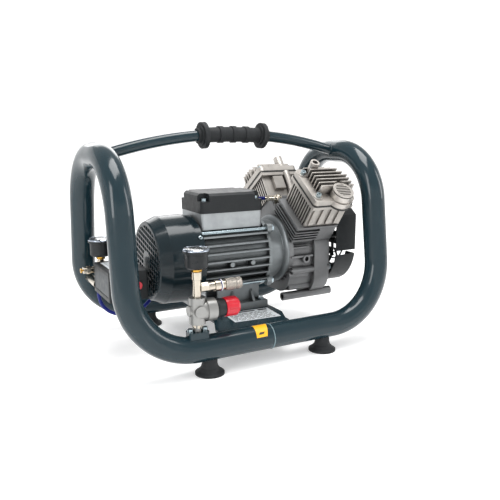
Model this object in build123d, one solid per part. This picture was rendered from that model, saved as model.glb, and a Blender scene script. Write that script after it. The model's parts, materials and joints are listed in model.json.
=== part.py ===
"""Portable two-cylinder air compressor: a tubular receiver frame that carries a direct-drive motor and pump.

Millimetres. +X runs along the length towards the pump, +Y to the back, +Z up.
The origin lies on the floor under the middle of the frame.
"""
from build123d import *
from math import cos, pi, radians, sin, sqrt, tan
import os

os.makedirs("parts", exist_ok=True)

# Receiver frame
TUBE_R = 25.0
TUBE_WALL = 2.0
LEG_X = 282.0
RAIL_Y = 169.0
ARCH_Y = 121.0
RAIL_Z = 52.0
ARCH_Z = 406.0
LOW_BEND = 127.0
TOP_BEND = 116.0

# Handle, feet and base plate
BAR_R = 11.3
BAR_TOP_Z = 445.0
BAR_DROP = 42.0
GRIP_X = 8.5
FOOT_X = 130.0
FOOT_R = 28.3
PLATE_TOP = 74.0
PLATE_T = 4.0
DRAIN_X = 45.0

# Fasteners: hexagon bolts and socket screws of one size each
BOLT_R = 3.5
HEX = 12.0
SCREW_R = 3.0
SCREW_HEAD_R = 5.5

# Motor
AXIS_Z = 192.0
HOUSING_X = (-95.0, 55.0)
BOX_FLOOR = 254.0
BOX_HALF_Y = 53.0
LID_SEAT = 312.0
FOOT_TOP = PLATE_TOP + 15.0
FOOT_BOLT_X = (-32.0, 54.0)
FOOT_BOLT_Y = 42.0
HOUSING_BORE = 62.0
HOUSING_ROOT = 70.0
FIN_R = 86.0
ROD_Y = 60.0
ROD_DZ = 57.0
COWL_X = (-190.0, -113.0)
GLAND_Z = 277.5
SHAFT_R = 10.0
BEARING_R = 23.5
BEARING_W = 14.0
BEARING_X = (-110.0, 68.0, 188.0)

# Pump
TILT = 36.0
CYL_X = 172.0
BANK_SHIFT = 12.0
TURN_X = CYL_X - BANK_SHIFT / 2
CASE_X = (108.0, 186.0)
COVER_X = (186.0, 214.0)
CASE_MID_Z = 165.5
SEAT_H = 106.0
BARREL_TOP = 168.0
PLATE_H = 4.0
HEAD_TOP = 206.0
BORE_R = 27.5
CRANK_E = 9.0
PIN_R = 10.0
ROD_LENGTH = 112.0
ROD_W = 11.0
FAN_R = 57.0
ELBOW = (122.0, 0.0, 304.0)

# Outlet group on the front rail
OUT_X = -154.0
OUT_Y = -RAIL_Y
REG_Z = 126.5
BRANCH_Z = 170.0

# Pressure switch group at the left end
SWITCH_X = (-283.0, -205.0)
SWITCH_Y = (-50.0, 62.0)
SWITCH_Z = (128.0, 188.0)
MANIFOLD_X = -276.0
MANIFOLD_Z = 140.0
RISER_X = -262.0
RISER_Y = 82.0

# Delivery hose
HOSE_D = 8.0
HOSE_ROUTE = [
    (-266, 98, 118), (-266, 98, 97), (-257, 96, 78), (-241, 92, 64.5), (-219, 86.5, 59), (-195, 81, 62),
    (-173, 77, 73), (-153, 78, 92), (-124, 94, 112), (-84, 108, 128), (-34, 113, 146), (14, 115, 172),
    (48, 112, 208), (62, 102, 244), (64, 86, 272), (70, 64, 292), (82, 40, 302), (102, 20, 303),
]

nodes = {}


def save(shape, name):
    """Write one node and keep it for the later cuts."""
    nodes[name] = shape
    export_step(shape, f"parts/{name}.step")


def cyl_x(r, x0, x1, y=0.0, z=AXIS_Z):
    return Pos((x0 + x1) / 2, y, z) * Rot(0, 90, 0) * Cylinder(r, x1 - x0)


def cyl_y(r, y0, y1, x, z):
    return Pos(x, (y0 + y1) / 2, z) * Rot(90, 0, 0) * Cylinder(r, y1 - y0)


def cyl_z(r, z0, z1, x, y):
    return Pos(x, y, (z0 + z1) / 2) * Cylinder(r, z1 - z0)


def ring_x(r_out, r_in, x0, x1, y=0.0, z=AXIS_Z):
    return cyl_x(r_out, x0, x1, y, z) - cyl_x(r_in, x0 - 1, x1 + 1, y, z)


def block(x0, x1, y0, y1, z0, z1):
    return Pos((x0 + x1) / 2, (y0 + y1) / 2, (z0 + z1) / 2) * Box(x1 - x0, y1 - y0, z1 - z0)


def hex_x(across, x0, x1, y=0.0, z=AXIS_Z):
    sketch = Plane(origin=(x0, y, z), z_dir=(1, 0, 0)) * RegularPolygon(across / 2, 6, major_radius=False)
    return extrude(sketch, x1 - x0)


def hex_z(across, z0, z1, x, y):
    sketch = Plane(origin=(x, y, z0)) * RegularPolygon(across / 2, 6, major_radius=False)
    return extrude(sketch, z1 - z0)


def socket_screw(length):
    """A cap screw that points down, with the underside of its head at z = 0."""
    screw = Pos(0, 0, 3) * Cylinder(SCREW_HEAD_R, 6) + Pos(0, 0, 0.5 - length / 2) * Cylinder(SCREW_R, length + 1)
    return screw - Pos(0, 0, 3.5) * extrude(RegularPolygon(2.5, 6), 4)


def turned_x(profile, y=0.0, z=AXIS_Z):
    """Turn an outline of (x, radius) points about a line along X."""
    face = make_face(Polyline(*[(px, 0, pr) for px, pr in profile], close=True))
    return Pos(0, y, z) * revolve(face, Axis.X)


def turned_z(profile, x, y):
    """Turn an outline of (radius, z) points about a vertical line."""
    face = make_face(Polyline(*[(pr, 0, pz) for pr, pz in profile], close=True))
    return Pos(x, y, 0) * revolve(face, Axis.Z)


def rounded_x(width, height, corner, x0, x1, mid_z=CASE_MID_Z):
    """A bar along X whose section is a rectangle with round corners."""
    sketch = Plane(origin=(x0, 0, mid_z), x_dir=(0, 1, 0), z_dir=(1, 0, 0)) * RectangleRounded(width, height, corner)
    return extrude(sketch, x1 - x0)


def at_front(shape):
    """Place a shape drawn about the front cylinder: x along X, +y towards the middle of the V, z outwards."""
    tilt = radians(TILT)
    return Plane(origin=(CYL_X, 0, AXIS_Z), x_dir=(1, 0, 0), z_dir=(0, -sin(tilt), cos(tilt))) * shape


def at_rear(shape):
    """The rear bank is the front bank turned half a turn about a vertical line."""
    return Pos(TURN_X, 0, 0) * Rot(0, 0, 180) * Pos(-TURN_X, 0, 0) * at_front(shape)


# ---------------------------------------------------------------- receiver frame
def hoop_line():
    """Centre line of the right half of the frame; its ends meet the left half at x = 0."""
    points = [
        (0, -RAIL_Y, RAIL_Z), (LEG_X, -RAIL_Y, RAIL_Z), (LEG_X, -ARCH_Y, ARCH_Z),
        (LEG_X, ARCH_Y, ARCH_Z), (LEG_X, RAIL_Y, RAIL_Z), (0, RAIL_Y, RAIL_Z),
    ]
    return FilletPolyline(*points, radius=[LOW_BEND, TOP_BEND, TOP_BEND, LOW_BEND])


def along(line, sketch):
    return sweep(Plane(origin=line @ 0, z_dir=line % 0) * sketch, path=line)


def make_frame():
    line = hoop_line()
    bore = TUBE_R - TUBE_WALL
    hoop = along(line, Circle(TUBE_R) - Circle(bore))
    full = along(line, Circle(TUBE_R))
    save(hoop, "right_hoop")
    left_full = mirror(full, Plane.YZ)
    boss = block(OUT_X - 20, OUT_X + 20, OUT_Y - 13, OUT_Y + 13, RAIL_Z + 12, 88)
    boss = fillet(boss.edges().filter_by(Axis.Z), 5) - left_full
    left = mirror(hoop, Plane.YZ) + boss
    left -= cyl_z(5, RAIL_Z, 90, OUT_X, OUT_Y)
    for side in (-1, 1):
        left -= cyl_z(SCREW_R, 78, 90, OUT_X + side * 14.5, OUT_Y)
    left -= cyl_y(5, 120, 150, MANIFOLD_X, MANIFOLD_Z)
    save(left, "left_hoop")
    return left_full


def make_handle():
    radius = ((LEG_X - 1) ** 2 + BAR_DROP ** 2) / (2 * BAR_DROP)

    def arc(x0, x1):
        def point(x):
            return (x, 0, BAR_TOP_Z - radius + sqrt(radius ** 2 - x ** 2))
        return ThreePointArc(point(x0), point((x0 + x1) / 2), point(x1))

    bar = along(arc(1 - LEG_X, LEG_X - 1), Circle(BAR_R))
    for side in (-1, 1):
        bar -= cyl_y(TUBE_R, -60, 60, side * LEG_X, ARCH_Z)
    bar = bar.solids().sort_by(SortBy.VOLUME)[-1]
    save(bar, "handle_bar")

    def sleeve(centre, half, r):
        return along(arc(centre - half, centre + half), Circle(r) - Circle(BAR_R))

    grip = sleeve(GRIP_X, 82.5, 15.5)
    for flange in (-68.5, 68.5):
        grip += sleeve(GRIP_X + flange, 4.5, 27)
        grip += sleeve(GRIP_X + flange, 8.0, 21)
    for rib in (-30, 0, 30):
        grip += sleeve(GRIP_X + rib, 5.0, 17.5)
    save(grip, "handle_grip")


def make_feet():
    profile = [(7, 0), (FOOT_R, 0), (FOOT_R, 4), (22, 8), (17, 14), (14.9, 21), (14.9, 34), (0, 34), (0, 12), (7, 12)]
    feet = []
    for x in (-FOOT_X, FOOT_X):
        for y in (-RAIL_Y, RAIL_Y):
            feet.append(turned_z(profile, x, y) - cyl_x(TUBE_R, x - 40, x + 40, y, RAIL_Z))
    save(Compound(children=feet), "rubber_feet")


def foot_bolt_places():
    return [(x, y) for x in FOOT_BOLT_X for y in (-FOOT_BOLT_Y, FOOT_BOLT_Y)]


def make_base_plate():
    half = RAIL_Y - 15.2
    outline = [(-85, 0), (-85, -95), (-104, -140), (-104, -half), (57, -half), (57, -140), (73, -100), (73, 0)]
    front = make_face(Polyline(*outline, close=True))
    sketch = front + mirror(front, Plane.XZ)
    plate = extrude(Plane(origin=(0, 0, PLATE_TOP - PLATE_T)) * sketch, PLATE_T)
    for y in (-RAIL_Y, RAIL_Y):
        plate -= cyl_x(TUBE_R, -120, 120, y, RAIL_Z)
    for x, y in foot_bolt_places():
        plate -= cyl_z(BOLT_R, 60, 80, x, y)
    save(plate, "base_plate")


def make_drain():
    plug = hex_z(17, 19, 27, DRAIN_X, RAIL_Y) + cyl_z(11, 26, 29, DRAIN_X, RAIL_Y) - cyl_z(3, 10, 24, DRAIN_X, RAIL_Y)
    save(plug - cyl_x(TUBE_R, 0, 100, RAIL_Y, RAIL_Z), "drain_plug")


# ---------------------------------------------------------------- motor
def rod_places():
    return [(sy * ROD_Y, AXIS_Z + sz * ROD_DZ) for sy in (-1, 1) for sz in (-1, 1)]


def make_motor_housing():
    x0, x1 = HOUSING_X
    body = cyl_x(HOUSING_ROOT, x0, x1)
    fins = Part()
    for k in range(-3, 4):
        z = AXIS_Z + 16.5 * k
        fins += block(x0, x1, -FIN_R, FIN_R, z - 1.6, z + 1.6)
    body += fins & cyl_x(FIN_R, x0, x1)
    for x in (-36, 12):
        body += cyl_y(5, -84, -66, x, AXIS_Z - 8)
    body -= block(-91, 51, -BOX_HALF_Y - 1, BOX_HALF_Y + 1, BOX_FLOOR, 300) - cyl_x(HOUSING_ROOT, x0, x1)
    body -= cyl_x(HOUSING_BORE, x0 - 1, x1 + 1)
    save(body, "motor_housing")


def make_motor_foot():
    foot = block(-45, 66, -52, 52, PLATE_TOP, FOOT_TOP) - block(-30, 40, -22, 22, PLATE_TOP - 1, FOOT_TOP + 1)
    rib = Plane.YZ * make_face(Polyline((32, FOOT_TOP - 1), (50, FOOT_TOP - 1), (32, FOOT_TOP + 26), close=True))
    for side in (-1, 1):
        inner, outer = sorted((26 * side, 33 * side))
        foot += block(-45, 54, inner, outer, PLATE_TOP, 150)
        for x in (-12, 34):
            web = Pos(x - 2.5, 0, 0) * extrude(rib, 5)
            foot += web if side > 0 else mirror(web, Plane.XZ)
    foot -= nodes["motor_housing"]
    foot -= cyl_x(HOUSING_BORE + 1, -100, 70)
    bolts = []
    for x, y in foot_bolt_places():
        foot -= cyl_z(BOLT_R, 60, FOOT_TOP + 1, x, y)
        bolts.append(hex_z(HEX, FOOT_TOP, FOOT_TOP + 5, x, y) + cyl_z(BOLT_R, 62, FOOT_TOP + 1, x, y))
    save(foot.solids().sort_by(SortBy.VOLUME)[-1], "motor_foot")
    return bolts


def make_stator_and_rotor():
    core = ring_x(HOUSING_BORE, 38, -60, 22)
    coils = [ring_x(57, 41, -82, -60), ring_x(57, 41, 22, 42)]
    save(Compound(children=[core] + coils), "wound_stator")
    rotor = ring_x(37.5, 14, -60, 22) + ring_x(34, 26, -70, -60) + ring_x(34, 26, 22, 32)
    save(rotor, "rotor")
    profile = [(-172, 0), (-172, 8), (-130, 8), (-130, SHAFT_R), (-88, SHAFT_R), (-88, 14), (52, 14), (52, SHAFT_R),
               (136, SHAFT_R), (136, 0)]
    save(turned_x(profile), "motor_shaft")


def make_shields():
    x0, x1 = HOUSING_X
    shield = cyl_x(88, COWL_X[1], x0)
    shield += cyl_x(90, COWL_X[1], COWL_X[1] + 4)
    shield += cyl_x(87.4, COWL_X[1] - 5, COWL_X[1])
    shield -= cyl_x(60, COWL_X[1] + 6, x0 + 1)
    shield += cyl_x(30, COWL_X[1] - 5, x0 + 3)
    shield -= cyl_x(BEARING_R, BEARING_X[0], x0 + 10)
    shield -= cyl_x(SHAFT_R + 0.5, COWL_X[1] - 9, x0)
    for y, z in rod_places():
        shield -= cyl_x(3.5, COWL_X[1] + 6, x0 + 1, y, z)
    save(shield, "rear_shield")

    flange = cyl_x(78, x1, 63)
    for y, z in rod_places():
        flange += cyl_x(10, x1, 66, y, z)
    flange += turned_x([(62, 0), (62, 69), (97, 64), (101, 69), (104, 71), (108, 70), (108, 0)])
    flange -= cyl_x(58, x1 - 1, 84)
    flange -= cyl_x(56, 94, 109)
    flange += cyl_x(31, 62, 86)
    flange -= cyl_x(BEARING_R, x1, BEARING_X[1] + BEARING_W)
    flange -= cyl_x(SHAFT_R + 0.5, x1 - 1, 110)
    for y, z in rod_places():
        flange -= cyl_x(3.5, x1 - 1, 67, y, z)
    save(flange, "drive_flange")
    rods = []
    for y, z in rod_places():
        rods.append(cyl_x(3.5, COWL_X[1] + 6, 66, y, z) + hex_x(13, 66, 72, y, z))
    save(Compound(children=rods), "tie_rods")


def make_bearings():
    races = []
    for x in BEARING_X:
        profile = [(x, SHAFT_R + 0.03), (x, BEARING_R), (x + BEARING_W, BEARING_R), (x + BEARING_W, SHAFT_R + 0.03)]
        races.append(turned_x(profile))
    save(Compound(children=races), "ball_bearings")


def make_motor_fan():
    fan = cyl_x(16, -172, -132) + cyl_x(76, -142, -139)
    for k in range(9):
        blade = block(-166, -142, -1.5, 1.5, AXIS_Z + 14, AXIS_Z + 76)
        fan += Pos(0, 0, AXIS_Z) * Rot(40 * k, 0, 0) * Pos(0, 0, -AXIS_Z) * blade
    fan -= cyl_x(8, -175, -128)
    save(fan, "motor_fan")


def grille_sketch(radius):
    """Rows of square openings that lean a little, round a plain disc in the middle."""
    slots = Sketch()
    for row in range(-6, 7):
        for col in range(-6, 7):
            slots += Pos(12 * col, 11.3 * row) * Rectangle(9.8, 8.2)
    return ((Rot(0, 0, 14) * slots) & Circle(radius)) - Circle(21)


def make_cowl():
    x0, x1 = COWL_X
    outer = [(x0, 0), (x0, 78.5), (x0 + 2, 81), (x0 + 24, 90.4), (x1, 92), (x1, 0)]
    inner = [(x0 + 3, 0), (x0 + 3, 78), (x0 + 25, 87.4), (x1 - 6, 88.8), (x1, 88.8), (x1, 0)]
    cowl = turned_x(outer) - turned_x(inner)
    slots = Plane(origin=(x0 - 1, 0, AXIS_Z), x_dir=(0, 1, 0), z_dir=(1, 0, 0)) * grille_sketch(73)
    cowl -= extrude(slots, 6)
    save(cowl, "fan_cowl")


def corner_block(x, y, out_x, out_y, margin, z0, z1):
    """A block from a screw's inner side, some margin away, out past a corner."""
    xs = sorted((x - margin * out_x / abs(out_x), x + out_x))
    ys = sorted((y - margin * out_y / abs(out_y), y + out_y))
    return block(*xs, *ys, z0, z1)


def make_terminal_box():
    x0, x1 = -90.0, 50.0
    box = block(x0, x1, -BOX_HALF_Y, BOX_HALF_Y, BOX_FLOOR, 288)
    box = fillet(box.edges().filter_by(Axis.Z), 6) - cyl_x(HOUSING_ROOT, -200, 200)
    box -= block(x0 + 5, x1 - 5, -48, 48, 267, 290)
    for x in (x0 + 11, x1 - 11):
        for y in (-42, 42):
            box += cyl_z(7, 266, 288, x, y)
    corners = [(x0 + 11, -42), (x0 + 11, 42), (x1 - 11, -42), (x1 - 11, 42)]
    for x, y in corners:
        box -= cyl_z(SCREW_R, 272, 290, x, y)
    box -= cyl_y(8, 40, 60, -60, GLAND_Z)
    save(box, "terminal_box")

    envelope = block(x0 - 1, x1 + 1, -54, 54, 288, 328)
    envelope = fillet(envelope.edges().filter_by(Axis.Z), 7)
    envelope = chamfer(envelope.faces().sort_by(Axis.Z)[-1].edges(), 5)
    lid = envelope - block(x0 + 4, x1 - 4, -49, 49, 287, 324)
    for x, y in corners:
        out_x = 40 if x > 0 else -40
        out_y = 40 if y > 0 else -40
        boss = corner_block(x, y, out_x, out_y, 9, 288, 330) & envelope
        lid += boss - corner_block(x, y, out_x, out_y, 6.5, LID_SEAT, 331)
        lid -= corner_block(x, y, out_x, out_y, 6.5, LID_SEAT, 331)
        lid -= cyl_z(SCREW_R + 0.2, 287, LID_SEAT + 1, x, y)
    save(lid, "terminal_lid")
    screws = [Pos(x, y, LID_SEAT) * socket_screw(38) for x, y in corners]
    glands = [cyl_y(8, 47, 58, -60, GLAND_Z) + cyl_y(10, 53, 70, -60, GLAND_Z) - cyl_y(4, 40, 72, -60, GLAND_Z)]
    return screws, glands


# ---------------------------------------------------------------- pump
def case_bolt_places():
    return [(-64, 222), (64, 222), (-68, 150), (68, 150), (-53, 111), (53, 111)]


def seat_stack():
    """Neck and cooling plates under one cylinder seat, drawn about the cylinder."""
    left = CASE_X[0] + 2 - CYL_X
    right = COVER_X[1] - CYL_X
    smooth = CASE_X[1] - 14 - CYL_X
    stack = block(left + 4, right, -43, 43, 30, SEAT_H) + block(left, right, -48, 48, SEAT_H - 6, SEAT_H)
    stack += block(smooth, right, -46, 46, 62, SEAT_H)
    for top in (92.5, 85.0, 77.5, 70.0):
        stack += block(left, smooth + 1, -48, 48, top - 3, top)
    return stack


def make_crankcase():
    x0, x1 = CASE_X
    shell = rounded_x(132, 139, 44, x0 + 4, x1)
    shell += rounded_x(152, 159, 50, x1 - 14, COVER_X[1] - 6)
    shell += rounded_x(144, 151, 46, COVER_X[1] - 6, COVER_X[1])
    shell += cyl_x(74, x0, x0 + 10)
    shell += at_front(seat_stack()) + at_rear(seat_stack())
    for y, z in case_bolt_places():
        shell += cyl_x(8, x0 + 8, COVER_X[1], y, z)
    shell += cyl_x(9.2, 104, 232, -50, 90)
    shell += block(x0 + 4, x1 - 18, -76, -60, 180, 184)
    shell += block(x0 + 4, x1 - 18, -76, -60, 150, 154)
    shell += cyl_y(9, -78, -60, 150, 176)
    shell -= cyl_y(5, -79, -70, 150, 176)
    shell -= cyl_x(6, 100, 130, -50, 90)
    shell -= rounded_x(118, 125, 38, x0 + 14, COVER_X[1] - 10)
    throat = Pos(0, 0, 70) * Cylinder(30, 90)
    shell -= at_front(throat) + at_rear(throat)
    shell -= cyl_x(20, x0 - 5, x0 + 20)
    shell -= ring_x(80, 56, x0 - 1, x0)
    shell += cyl_x(30, COVER_X[1] - 28, COVER_X[1]) - cyl_x(30, COVER_X[1] - 29, COVER_X[1] - 26)
    shell -= cyl_x(BEARING_R, COVER_X[1] - 30, BEARING_X[2] + BEARING_W)
    shell -= cyl_x(SHAFT_R + 0.5, 180, 220)
    shell += cyl_z(9, 240, ELBOW[2] - 12, ELBOW[0], ELBOW[1])
    shell -= cyl_z(3.5, 222, 330, ELBOW[0], ELBOW[1])
    for y, z in case_bolt_places():
        shell -= cyl_x(BOLT_R, x1 - 16, COVER_X[1] + 1, y, z) + cyl_x(8, COVER_X[1], COVER_X[1] + 12, y, z)
    low_half = block(90, x1, -150, 150, 60, 330)
    case = shell & low_half
    cover = shell - low_half
    save(case.solids().sort_by(SortBy.VOLUME)[-1], "crankcase")
    save(cover.solids().sort_by(SortBy.VOLUME)[-1], "crankcase_cover")


def barrel():
    body = Pos(0, 0, (SEAT_H + BARREL_TOP) / 2) * Cylinder(37, BARREL_TOP - SEAT_H)
    body += block(-44, 44, -44, 44, SEAT_H, SEAT_H + 4)
    body += block(-50, 50, -52, 52, BARREL_TOP - 8, BARREL_TOP)
    for k in range(-5, 6):
        body += block(-46, 46, 8.4 * k - 1.8, 8.4 * k + 1.8, SEAT_H, BARREL_TOP)
    for k in (-1.5, -0.5, 0.5, 1.5):
        body += block(22 * k - 6, 22 * k + 6, -47, 44, SEAT_H + 6, BARREL_TOP)
    body += Pos(-17, 50, 138) * Cylinder(8.5, 60)
    body += block(-2, 24, 40, 54, 124, 156)
    body -= Cylinder(BORE_R + 0.05, 500)
    for x in (-38, 38):
        for y in (-36, 36):
            body -= Pos(x, y, BARREL_TOP) * Cylinder(SCREW_R, 40)
    return body


def head_outline(extra=0.0):
    plate = RectangleRounded(100 + extra, 104 + extra, 9)
    return plate + Pos(16, -40) * Circle(27 + extra / 2)


def head_bolt_places():
    return [(x, y) for x in (-38, 38) for y in (-36, 36)]


def valve_plate():
    plate = extrude(Pos(0, 0, BARREL_TOP) * head_outline(1.5), PLATE_H)
    for x, y in head_bolt_places():
        plate -= Pos(x, y, BARREL_TOP) * Cylinder(3.3, 20)
    plate -= Pos(12, -8, BARREL_TOP) * Cylinder(6, 20)
    plate -= Pos(-14, 8, BARREL_TOP) * Cylinder(5, 20)
    return plate


def head():
    base = BARREL_TOP + PLATE_H
    body = extrude(Pos(0, 0, base) * head_outline(), 12)
    for k in range(8):
        y = 46 - 10.5 * k
        reach = min(49.0, 20 + 7.5 * k)
        low = max(0.0, 14 - 7.0 * k)
        body += block(-34, reach, y - 1.3, y + 1.3, base + 8, HEAD_TOP - low)
    body += Pos(16, -40, 0) * extrude(Pos(0, 0, base) * Circle(24), 26)
    body += Pos(-17, 38, (base + HEAD_TOP + 8) / 2) * Cylinder(10, HEAD_TOP + 8 - base)
    for x, y in head_bolt_places():
        body += Pos(x, y, base + 7) * Cylinder(10.5, 14)
        body -= Pos(x, y, base + 14 + 20) * Cylinder(9.5, 40)
        body -= Pos(x, y, base) * Cylinder(3.3, 60)
    body -= Pos(16, -40, base + 26) * Cylinder(20, 32) + Pos(16, -40, base + 36) * Cylinder(24.5, 20)
    body -= Pos(-17, 38, HEAD_TOP) * Cylinder(6, 40)
    body -= Pos(0, 0, base) * extrude(RectangleRounded(62, 58, 8), 6)
    return body


def intake_cap():
    base = BARREL_TOP + PLATE_H
    cap = Pos(16, -40, base + 25) * Cylinder(19.8, 6)
    cap += Pos(16, -40, base + 29) * Cylinder(23, 3)
    for k in range(-3, 4):
        reach = sqrt(19 ** 2 - (5 * k) ** 2)
        cap -= block(16 - reach + 2, 16 + reach - 2, -40 + 5 * k - 1.2, -40 + 5 * k + 1.2, base + 23, base + 31)
    return cap


def make_cylinders():
    for name, maker in (("cylinder", barrel), ("valve_plate", valve_plate), ("head", head)):
        save(at_front(maker()), f"front_{name}")
        save(at_rear(maker()), f"rear_{name}")
    save(Compound(children=[at_front(intake_cap()), at_rear(intake_cap())]), "intake_caps")


def make_fasteners(lid_screws, foot_bolts):
    screws = lid_screws
    seat = BARREL_TOP + PLATE_H + 14
    for x, y in head_bolt_places():
        screw = Pos(x, y, seat) * socket_screw(34)
        screws += [at_front(screw), at_rear(screw)]
    for side in (-1, 1):
        screws.append(Pos(OUT_X + side * 14.5, OUT_Y, 88) * socket_screw(9))
    save(Compound(children=screws), "socket_screws")
    bolts = foot_bolts
    x1 = COVER_X[1]
    for y, z in case_bolt_places():
        bolts.append(cyl_x(BOLT_R, CASE_X[1] - 14, x1 + 1, y, z) + hex_x(HEX, x1, x1 + 5, y, z))
    save(Compound(children=bolts), "hex_bolts")


def piston():
    """Cup piston with ring grooves, drawn at its top dead centre along the cylinder."""
    top = BARREL_TOP - 1
    body = Pos(0, 0, top - 26) * Cylinder(BORE_R, 52)
    body -= Pos(0, 0, top - 34) * Cylinder(24.2, 52)
    for depth in (6, 11):
        groove = Pos(0, 0, top - depth) * (Cylinder(BORE_R + 1, 2) - Cylinder(BORE_R - 1, 3))
        body -= groove
    return body


def rod_and_pin():
    """Connecting rod from the crank pin outwards along z, and its wrist pin."""
    half = ROD_W / 2
    eye = Rot(0, 90, 0) * Cylinder(17, ROD_W)
    small = Pos(0, 0, ROD_LENGTH) * Rot(0, 90, 0) * Cylinder(11, ROD_W)
    shank = block(-half + 1.5, half - 1.5, -9, 9, 10, ROD_LENGTH - 6)
    flutes = block(half - 3.0, half, -5, 5, 22, ROD_LENGTH - 16) + block(-half, 3.0 - half, -5, 5, 22, ROD_LENGTH - 16)
    rod = eye + small + (shank - flutes)
    rod -= Rot(0, 90, 0) * Cylinder(PIN_R + 0.03, 40)
    rod -= Pos(0, 0, ROD_LENGTH) * Rot(0, 90, 0) * Cylinder(5, 40)
    pin = Pos(0, 0, ROD_LENGTH) * Rot(0, 90, 0) * (Cylinder(5, 34) - Cylinder(2.5, 40))
    return rod, pin


def make_running_gear():
    tilt = radians(TILT)
    rise = CRANK_E * cos(tilt)
    drop = CRANK_E - rise
    for name, place, side in (("front", at_front, -1), ("rear", at_rear, 1)):
        save(place(Pos(0, 0, -drop) * piston()), f"{name}_piston")
        x = CYL_X if side < 0 else CYL_X - BANK_SHIFT
        big_end = Plane(origin=(x, 0, AXIS_Z + CRANK_E), x_dir=(1, 0, 0), z_dir=(0, side * sin(tilt), cos(tilt)))
        save(Compound(children=[big_end * piece for piece in rod_and_pin()]), f"{name}_rod")

    def web(x0, x1):
        disc = Pos(0, 0, AXIS_Z) * extrude(Plane.YZ.offset(x0) * Circle(36), x1 - x0)
        for y in (17, -50):
            disc -= block(x0 - 1, x1 + 1, y, y + 33, AXIS_Z + 2, AXIS_Z + 60)
        return disc

    pin_z = AXIS_Z + CRANK_E
    pin_x = (CYL_X - BANK_SHIFT - ROD_W / 2 - 0.5, CYL_X + ROD_W / 2 + 0.5)
    drive = web(137, pin_x[0]) + cyl_x(18, 124, 140) + cyl_x(PIN_R, 150, pin_x[1], 0, pin_z)
    drive -= cyl_x(SHAFT_R, 120, 136)
    drive -= cyl_x(4, 160, pin_x[1] + 1, 0, pin_z)
    save(drive, "crank_drive_web")
    fan_side = web(pin_x[1], 186) + cyl_x(SHAFT_R, 180, 246)
    fan_side += cyl_x(4, 162, pin_x[1] + 1, 0, pin_z)
    save(fan_side, "crank_fan_web")


def make_cooling_fan():
    fan = cyl_x(18, 224, 246) + ring_x(FAN_R, FAN_R - 3, 232, 238)
    for k in range(7):
        blade = Pos(235, 0, 36) * Rot(0, 0, 32) * Box(4, 22, 42)
        fan += Pos(0, 0, AXIS_Z) * Rot(360 / 7 * k, 0, 0) * blade
    fan &= cyl_x(FAN_R, 222, 248)
    fan -= cyl_x(SHAFT_R, 200, 246.5)
    save(fan, "cooling_fan")


def guide_outline(offset):
    """Outline of the air guide looking along the shaft: round below, sloped over the two heads above."""
    r = 88.0 - offset
    shoulder = (r, 76.0)
    crest = (30.0, 118.0 - offset)
    lines = [
        Line((-r, 0), (-shoulder[0], shoulder[1])), Line((-shoulder[0], shoulder[1]), (-crest[0], crest[1])),
        Line((-crest[0], crest[1]), crest), Line(crest, shoulder), Line(shoulder, (r, 0)),
        ThreePointArc((r, 0), (0, -r), (-r, 0)),
    ]
    return make_face(lines)


def make_air_guides():
    x0, x1 = 222.0, 278.0
    frame_plane = Plane(origin=(x0, 0, AXIS_Z), x_dir=(0, 1, 0), z_dir=(1, 0, 0))
    outer = extrude(frame_plane * guide_outline(0), x1 - x0)
    outer = chamfer(outer.faces().sort_by(Axis.X)[-1].edges(), 4)
    inner = extrude(frame_plane * guide_outline(2.5), x1 - x0 - 2.5)
    shell = outer - inner
    intake = Circle(54) - Circle(16)
    for k in range(3):
        intake -= Rot(0, 0, 60 * k) * Rectangle(120, 5)
    for r in (26, 40):
        intake -= Circle(r + 1.5) - Circle(r - 1.5)
    shell -= extrude(Plane(origin=(x1 - 6, 0, AXIS_Z), x_dir=(0, 1, 0), z_dir=(1, 0, 0)) * intake, 10)
    for y, z in case_bolt_places()[:4]:
        inward = -1 if y > 0 else 1
        shell += cyl_x(7, COVER_X[1] + 5, x1 - 2, y + 4 * inward, z) & outer
    upper = shell & block(200, 300, -120, 120, AXIS_Z - 4, 400)
    lower = shell & block(200, 300, -120, 120, 60, AXIS_Z - 14)
    save(upper.solids().sort_by(SortBy.VOLUME)[-1], "upper_air_guide")
    save(lower.solids().sort_by(SortBy.VOLUME)[-1], "lower_air_guide")


# ---------------------------------------------------------------- outlet group
def gauge_case(x, y, z):
    """A round gauge lying face up: stem, case and bezel; z is the underside of the case."""
    case = turned_z([(0, z), (18.5, z), (21.5, z + 3), (21.5, z + 28), (24.5, z + 29), (24.5, z + 34), (23, z + 35.5),
                     (21, z + 35.5), (21, z + 31), (0, z + 31)], x, y)
    case += hex_z(14, z - 7, z + 1, x, y)
    return case - cyl_z(1.5, z + 25, z + 33, x, y)


def gauge_pointer(x, y, z, angle):
    needle = block(-5, 16, -1.0, 1.0, z + 31.6, z + 32.6) + cyl_z(3.5, z + 31.2, z + 33.4, 0, 0)
    needle += cyl_z(1.45, z + 26, z + 32, 0, 0)
    return Pos(x, y, 0) * Rot(0, 0, angle) * needle


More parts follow.
